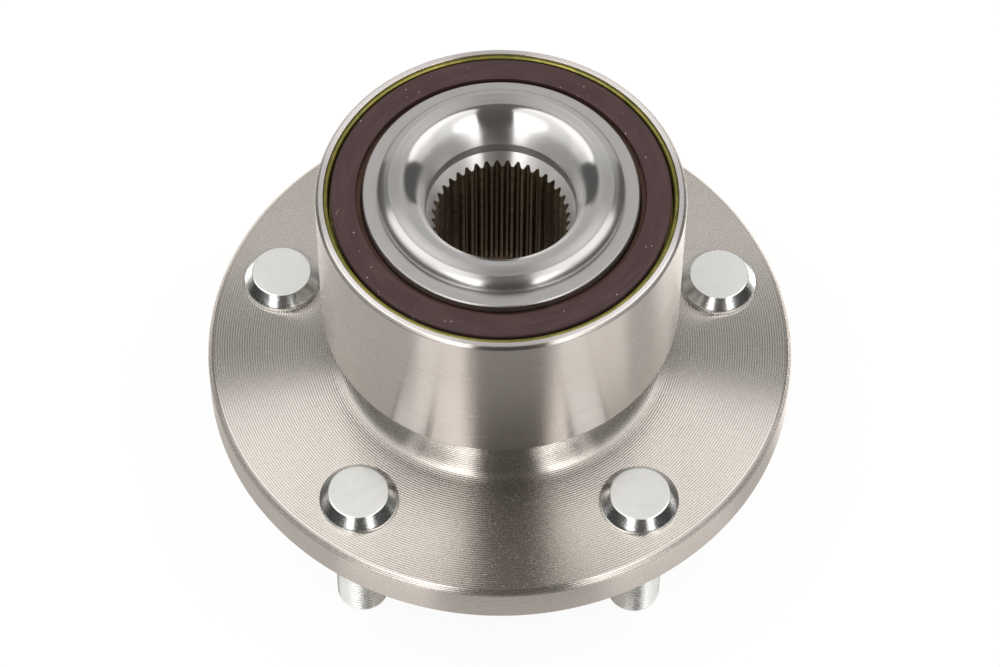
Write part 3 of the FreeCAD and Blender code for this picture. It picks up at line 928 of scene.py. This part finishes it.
    def drill(self, hub: Piece) -> None:
        """Drill the stud holes through the flange."""
        low, high = -3.0, FLANGE_TOP_Z + 3.0
        for index in range(int(mount("wheel_studs")["count"])):
            bit = Outline(closed=False).to(0, low).to(KNURL_R, low).to(KNURL_R, high).to(0, high)
            Lathe.join(hub, Lathe.turn("drill", bit, 64, stud_axis(index)), "DIFFERENCE")

    def build(self) -> None:
        """Model the hub and dress it."""
        hub = Lathe.turn("hub_forging", self.outline(), self.steps, first_angle=self.phase)
        self.cut_spline(hub)
        self.drill(hub)
        Lathe.smooth(hub)
        fit(hub, "wheel_hub", HubSteel(), "hub")


@dataclass
class WheelStuds:
    """Pressed wheel studs: one is modelled, and the others are copies of it."""

    thread_r: float = field(default_factory=lambda: mount("wheel_studs")["stud_r_mm"])
    pitch: float = 1.25
    root_depth: float = 0.6134
    root_sag: float = 0.04
    turn_steps: int = 48
    round_steps: int = 96
    head_r: float = 9.0
    head_flat_r: float = 6.8
    head_edge: float = 1.0
    knurl_length: float = 8.5
    knurl_run_out: float = 0.6
    neck_r: float = 5.75
    neck_foot_z: float = -0.6
    thread_top_z: float = 0.25
    point: float = 0.9
    clear: float = 0.001

    def blank(self, high: float) -> Piece:
        """Turn the head, the shank and the neck."""
        knurl_z = FLANGE_TOP_Z - self.knurl_length
        line = Outline(closed=False)
        line.to(0, high).to(self.head_flat_r, high, 0.28)
        line.to(self.head_r, FLANGE_TOP_Z + self.head_edge, 0.5).to(self.head_r, FLANGE_TOP_Z, 0.2)
        line.to(KNURL_R, FLANGE_TOP_Z).to(KNURL_R, knurl_z, 0.15)
        line.to(self.neck_r, knurl_z - self.knurl_run_out, 0.15)
        line.to(self.neck_r, self.neck_foot_z, 0.15).to(0, self.neck_foot_z)
        return Lathe.turn("stud_blank", line, self.round_steps, stud_axis(0))

    def thread(self, low: float) -> Piece:
        """Wind one pitch of the thread's outline into a screw, and cut its ends off square."""
        root_r = self.thread_r - self.root_depth * self.pitch
        shoulder_r = root_r + self.root_sag
        crest, root = self.pitch / 8, self.pitch / 4
        flank = (self.pitch - crest - root) / 2
        made = Lathe.start("stud_thread")
        outline = [
            (shoulder_r, 0.0), (root_r, root * 0.3), (root_r, root * 0.7), (shoulder_r, root),
            (self.thread_r, root + flank), (self.thread_r, root + flank + crest),
            (shoulder_r, self.pitch),
        ]
        floor = low - 2.5 * self.pitch
        Lathe.draw([Vector((r * MM, 0, (floor + z) * MM)) for r, z in outline])
        bpy.ops.object.mode_set(mode="OBJECT")
        turns = math.ceil((self.thread_top_z - floor) / self.pitch) + 2
        Lathe.apply(
            made, "SCREW", axis="Z", angle=2 * math.pi, screw_offset=self.pitch * MM,
            iterations=turns, steps=self.turn_steps, render_steps=self.turn_steps,
            use_merge_vertices=True, merge_threshold=WELD,
        )
        bpy.ops.object.mode_set(mode="EDIT")
        Lathe.merge()
        for height, clear_outer in ((self.thread_top_z, True), (low - 0.4, False)):
            bpy.ops.mesh.select_all(action="SELECT")
            bpy.ops.mesh.bisect(
                plane_co=(0, 0, height * MM), plane_no=(0, 0, 1), use_fill=True, threshold=1e-8,
                clear_outer=clear_outer, clear_inner=not clear_outer,
            )
        bpy.ops.mesh.select_all(action="SELECT")
        bpy.ops.transform.translate(value=(*stud_axis(0), 0))
        Lathe.weld()
        return made

    def envelope(self, low: float) -> Piece:
        """Turn the space that the thread stays within, with the point's chamfer."""
        outside = self.thread_r + self.clear
        line = Outline(closed=False)
        line.to(0, -self.neck_foot_z).to(self.neck_r - 0.3, -self.neck_foot_z).to(outside, -0.25)
        line.to(outside, low + self.point).to(self.thread_r - self.point, low).to(0, low)
        return Lathe.turn("stud_envelope", line, self.round_steps, stud_axis(0))

    def build(self) -> None:
        """Model one stud, copy it round the flange and dress them all."""
        low, high = (corner[2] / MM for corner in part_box("wheel_stud_1"))
        screw = self.thread(low)
        Lathe.join(screw, self.envelope(low), "INTERSECT")
        stud = self.blank(high)
        Lathe.join(stud, screw, "UNION")
        Lathe.smooth(stud)
        stud.name = stud.data.name = "stud_1"
        studs = [stud]
        count = int(mount("wheel_studs")["count"])
        for index in range(1, count):
            Lathe.pick(stud)
            bpy.ops.object.duplicate(linked=False)
            copy = bpy.context.active_object
            copy.name = copy.data.name = f"stud_{index + 1}"
            copy.rotation_euler.z = math.radians(index * 360 / count)
            bpy.ops.object.transform_apply(location=False, rotation=True, scale=False)
            studs.append(copy)
        for index, piece in enumerate(studs, 1):
            fit(piece, f"wheel_stud_{index}", ZincPlate(), "hub")


@dataclass
class Rings:
    """Outer ring and clamped inner ring."""

    seal_seat_r: float = 39.2
    seal_seat: Band = (4.8, 3.6)
    outer_land_r: float = 37.748
    outer_race_r: float = 31.344
    rib_r: float = 33.1
    inboard_race: tuple[float, float, float] = (58.344, 56.731, 50.365)
    outboard_race: tuple[float, float, float] = (44.835, 38.469, 36.856)
    chamfer: float = 0.65
    seat_r: float = 21.0
    seat_lead: float = 1.2
    collar_lead: float = 2.0
    edge: float = 0.3
    inner_race: Point = (31.656, 56.469)
    inner_race_z: Band = (54.856, 62.988)

    def outer(self) -> None:
        """Model the outer ring and dress it."""
        radius, low, high = span("outer_ring")
        inside_r, step_r, edge = self.outer_land_r, self.seal_seat_r, self.chamfer
        top_z, foot_z = high - self.seal_seat[0], low + self.seal_seat[1]
        line = Outline()
        line.to(radius, low + edge, 0.25).to(radius, high - edge, 0.25).to(radius - edge, high, 0.25)
        line.to(step_r, high, 0.12).to(step_r, top_z, 0.1).to(inside_r, top_z, 0.1)
        land_z, centre_z, rib_z = self.inboard_race
        line.to(inside_r, land_z).arc((self.outer_race_r, centre_z), self.rib_r, rib_z, 12)
        rib_z, centre_z, land_z = self.outboard_race
        line.to(self.rib_r, rib_z).arc((self.outer_race_r, centre_z), inside_r, land_z, 12)
        line.to(inside_r, foot_z, 0.1).to(step_r, foot_z, 0.1)
        line.to(step_r, low, 0.12).to(radius - edge, low, 0.25)
        turned_ring("ring_outer", line, "outer_ring", GroundSteel(), "outer_ring_set")

    def inner(self) -> None:
        """Model the inner ring and dress it."""
        radius, low, high = span("inner_ring")
        bore_r, lead, edge = self.seat_r, self.seat_lead, self.edge
        line = Outline()
        line.to(bore_r, low + lead, 0.2).to(bore_r + lead, low, 0.2).to(HUB_LAND_R - edge, low, 0.1)
        line.to(HUB_LAND_R, low + edge, 0.1).to(HUB_LAND_R, self.inner_race_z[0])
        line.arc(self.inner_race, radius, self.inner_race_z[1], 12)
        line.to(radius, high - edge, 0.12).to(radius - edge, high, 0.12)
        line.to(bore_r + self.collar_lead, high, 0.2).to(bore_r, high - self.collar_lead, 0.2)
        turned_ring("ring_inner", line, "inner_ring", RaceSteel(), "hub")

    def build(self) -> None:
        """Model both rings."""
        self.outer()
        self.inner()


@dataclass
class InboardSeal:
    """Cassette seal: the stamped case, and the encoder on the slinger."""

    edge: float = 0.3
    bend: float = 0.6
    wall: float = 1.0
    lip_r: float = 34.4
    encoder_r: float = 32.1
    encoder_skirt: Point = (0.55, 0.5)

    def case(self) -> None:
        """Model the stamped case and dress it."""
        radius, low, high = span("inboard_seal_case")
        inside_r, floor_z = radius - self.wall, low + self.wall
        line = Outline()
        line.to(radius, low + self.bend).to(radius, high - self.edge, 0.1)
        line.to(radius - self.edge, high, 0.1).to(inside_r + self.edge, high, 0.1)
        line.to(inside_r, high - self.edge, 0.1).to(inside_r, floor_z, 0.3)
        line.to(self.lip_r, floor_z).to(self.lip_r, low).to(radius - self.bend, low)
        line.arc((radius - self.bend, low + self.bend), radius, low + self.bend, 4)
        turned_ring(
            "seal_case", line, "inboard_seal_case", PassivatedSteel(),
            "outer_ring_set",
        )

    def encoder(self) -> None:
        """Model the encoder ring and dress it."""
        radius, low, high = span("encoder_ring")
        skirt_r, back_z = radius - self.encoder_skirt[0], low + self.encoder_skirt[1]
        line = Outline()
        line.to(self.encoder_r, back_z).to(skirt_r, back_z).to(skirt_r, low).to(radius, low)
        line.to(radius, high - self.edge, 0.12).to(radius - self.edge, high, 0.12)
        line.to(self.encoder_r, high, 0.12)
        turned_ring("encoder_face", line, "encoder_ring", EncoderRubber(), "hub")

    def build(self) -> None:
        """Model both pieces."""
        self.case()
        self.encoder()


# Studio


@dataclass
class Studio:
    """Camera, soft light and pale floor.

    Camera places and floor_z are in millimetres, angles in degrees, and all else in metres.
    """

    focal_px: float = 3689.8
    distance: float = 857.1
    elevation: float = 56.08
    azimuth: float = -0.13
    roll: float = 0.446
    target_z: float = 13.94
    image_width: int = 1000
    sensor_mm: float = 36.0
    box_place: Point = (0.70, 0.80)
    box_size: float = 0.6
    box_power: float = 3.0
    aim_z: float = 0.02
    scrim_level: Band = (1.60, 0.75)
    window_level: float = 2.5
    back_level: float = 0.12
    back_spill: float = 0.46
    strip_level: Band = (0.08, 0.16)
    white: Colour = (1.0, 0.985, 0.965)
    brown: Colour = (1.0, 0.90, 0.84)
    floor_z: float = -29.5
    floor_r: float = 0.45
    floor_drop: float = 0.0002
    shadow: Colour = (0.60, 0.575, 0.555)
    floor_warm: Colour = (1.0, 0.955, 0.92)
    floor_level: float = 0.66
    floor_shown: float = 1.08
    # painted light: bright patches and a dark gap that only the metal's reflections see on the floor
    painted_light_pool_left: Band = (-41.0, -17.0)
    painted_light_pool_right: Band = (28.0, 66.0)
    painted_dark_front_gap: Band = (-14.0, 24.0)
    far_band: Band = (0.094, 0.104)
    near_band: Band = (0.066, 0.072)

    def build(self) -> None:
        """Set up the whole studio."""
        self.place_camera()
        self.paint_world()
        self.hang_lamps()
        self.lay_floor()

    def place_camera(self) -> None:
        """Stand the camera where the picture was taken from."""
        up = math.radians(self.elevation)
        turn = math.radians(self.azimuth)
        back = Vector((math.sin(turn) * math.cos(up), -math.cos(turn) * math.cos(up), math.sin(up)))
        right = Vector((math.cos(turn), math.sin(turn), 0.0))
        above = back.cross(right)
        lean = math.radians(self.roll)
        across = right * math.cos(lean) + above * math.sin(lean)
        upright = back.cross(across)
        data = bpy.data.cameras.new("camera")
        data.sensor_width = self.sensor_mm
        data.lens = self.focal_px * data.sensor_width / self.image_width
        data.clip_start = 0.05
        data.clip_end = 20.0
        camera = bpy.data.objects.new("camera", data)
        bpy.context.scene.collection.objects.link(camera)
        turned = Matrix((across, upright, back)).transposed().to_4x4()
        camera.matrix_world = Matrix.Translation(
            (Vector((0, 0, self.target_z)) + back * self.distance) * MM
        ) @ turned
        bpy.context.scene.camera = camera

    def paint_world(self) -> None:
        """A white scrim overhead, two bright windows with a dark strip between, and a dim back.

        The sky is laid out flat, in distances across and along at unit height.
        """
        world = bpy.data.worlds.new("studio")
        bpy.context.scene.world = world
        world.use_nodes = True
        bench = Bench(world.node_tree)
        x, y, z = bench.split("Generated")
        height = z.math("ARCSINE") * TO_DEGREES
        over = z.math("MAXIMUM", 0.06)
        across, along = x / over, y / over
        wide = across.math("ABSOLUTE")
        back = bench.step(along, 0.53, 0.65)
        spread = wide - (along - 0.65).math("MAXIMUM", 0.0) * 0.9
        level = self.back_level + bench.fall(spread, 0.10, 0.60) * self.back_spill
        scrim = bench.step(wide, 0.45, 1.9, *self.scrim_level)
        scrim = scrim * bench.step(height, 16.0, 32.0, 0.07, 1.0)
        scrim = scrim * bench.step(along, -0.15, 0.15, 0.76, 1.0)
        level = scrim * (1 - back) + level * back
        near = bench.fall(along, -0.50, -0.42) * bench.step(along, -6.2, -5.2)
        left = near * bench.step(across - along * 0.30, -0.72, -0.66)
        right = near * bench.fall(across + along * 0.45, 0.68, 0.74)
        windows = left * right
        level = level * (1 - windows) + windows * self.window_level
        reach = (-1.0 * along).math("MAXIMUM", 0.0)
        strip = bench.step(across + (reach - 0.3).math("MAXIMUM", 0.0) * 0.25, -0.13, -0.09)
        strip = strip * bench.fall(across - reach * 0.40, 0.13, 0.17)
        strip = strip * bench.fall(along, 0.56, 0.64)
        level = level * (1 - strip) + strip * bench.step(along, -1.5, 0.2, *self.strip_level)
        seen = bench.node("ShaderNodeLightPath").out("Is Camera Ray")
        tint = bench.blend(strip, self.white, self.brown)
        lit = bench.node("ShaderNodeBackground", None, {"Color": tint, "Strength": level})
        plain = bench.node("ShaderNodeBackground", None, {"Color": (1, 1, 1, 1), "Strength": 1.0})
        both = bench.node("ShaderNodeMixShader", None, {0: seen, 1: lit, 2: plain})
        bench.node("ShaderNodeOutputWorld", None, {"Surface": both})

    def hang_lamps(self) -> None:
        """Hang a soft box on each side above the object, unseen in the metal."""
        for side, sign in (("left", -1), ("right", 1)):
            data = bpy.data.lights.new(f"soft_box_{side}", "AREA")
            data.shape = "RECTANGLE"
            data.size = data.size_y = self.box_size
            data.energy = self.box_power
            place = Vector((sign * self.box_place[0], 0.0, self.box_place[1]))
            lamp = bpy.data.objects.new(f"soft_box_{side}", data)
            bpy.context.scene.collection.objects.link(lamp)
            lamp.location = place
            lamp.visible_glossy = False
            way = Vector((0, 0, self.aim_z)) - place
            lamp.rotation_euler = way.to_track_quat("-Z", "Y").to_euler()

    def lay_floor(self) -> None:
        """Lay a pale floor: white with a faint shadow to the camera, and in the metal a tone.

        The tone is painted light that the floor glows with in reflections: bright patches and bright
        ends, and a dark gap in front. It goes by the way round in degrees from the front and by the
        distance in metres.
        """
        bpy.ops.object.select_all(action="DESELECT")
        bpy.ops.mesh.primitive_circle_add(
            vertices=96, radius=self.floor_r, fill_type="NGON",
            location=(0, 0, self.floor_z * MM - self.floor_drop),
        )
        floor = bpy.context.active_object
        floor.name = "floor"
        made = bpy.data.materials.new("floor")
        made.use_nodes = True
        bench = Bench(made.node_tree)
        rays = bench.node("ShaderNodeLightPath")
        direct = rays.out("Is Camera Ray")
        share = (direct * 0.85 + rays.out("Is Glossy Ray")).math("MINIMUM", 1.0)
        matt = bench.node("ShaderNodeBsdfDiffuse", None, {"Color": (*self.shadow, 1)})
        x, y, _ = bench.split("Object")
        turn = x.math("ARCTAN2", -1.0 * y) * TO_DEGREES
        away = (x * x + y * y) ** 0.5
        # painted light: bright patches and ends, and a dark gap in front, in the floor's glow seen by
        # reflections
        painted_light_pools = bench.window(turn, *self.painted_light_pool_left, 3.0) + bench.window(turn, *self.painted_light_pool_right, 4.0)
        painted_light_pools = painted_light_pools * 0.62 + bench.step(turn.math("ABSOLUTE"), 95.0, 125.0) * 0.75
        painted_light_pools = painted_light_pools - bench.window(turn, *self.painted_dark_front_gap, 4.0) * 0.27
        ends = bench.step(turn, 80.0, 98.0) * 0.85 + bench.fall(turn, -100.0, -84.0) * 0.20
        far, near = bench.step(away, *self.far_band), bench.step(away, *self.near_band)
        tone = self.floor_level + painted_light_pools * far + ends * near
        tone = tone * (1.0 - direct) + direct * self.floor_shown
        warm = bench.blend(direct, self.floor_warm, (1.0, 1.0, 1.0))
        shown = bench.node("ShaderNodeVectorMath", {"operation": "SCALE"}, {0: warm, "Scale": tone})
        white = bench.node("ShaderNodeEmission", None, {"Color": shown, "Strength": 1.0})
        both = bench.node("ShaderNodeMixShader", None, {0: share, 1: matt, 2: white})
        bench.node("ShaderNodeOutputMaterial", None, {"Surface": both})
        floor.data.materials.append(made)


# Dressing


def dress_node(node: str, finish: Finish) -> None:
    """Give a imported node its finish.

    Args:
        node: The node's name.
        finish: Its finish.
    """
    shown = frame["nodes"][node]
    for place in shown.material_slots:
        place.material = finish.material()
    LOG.info("%s: packed solid in %s", node, finish.name)


def main() -> None:
    """Build the scene, piece by piece."""
    logging.basicConfig(level=logging.INFO, format="%(message)s")
    bpy.context.scene.view_settings.view_transform = "Standard"
    Studio().build()
    plain = {
        "ball_steel": BallSteel(),
        "yellow_passivated": PassivatedSteel(),
        "stainless": StampedSteel(),
        "black_rubber": LipRubber(),
        "polyamide": CagePolyamide(),
    }
    shaped = {"wheel_hub", "outer_ring", "inner_ring", "inboard_seal_case", "encoder_ring"}
    for part in frame["record"]["subparts"]:
        node, slot = part["node"], part["material_slot"]
        if node not in shaped and not node.startswith("wheel_stud"):
            dress_node(node, plain[slot])
    for assembly in (Hub(), WheelStuds(), Rings(), InboardSeal()):
        assembly.build()


if __name__ == "__main__":
    main()
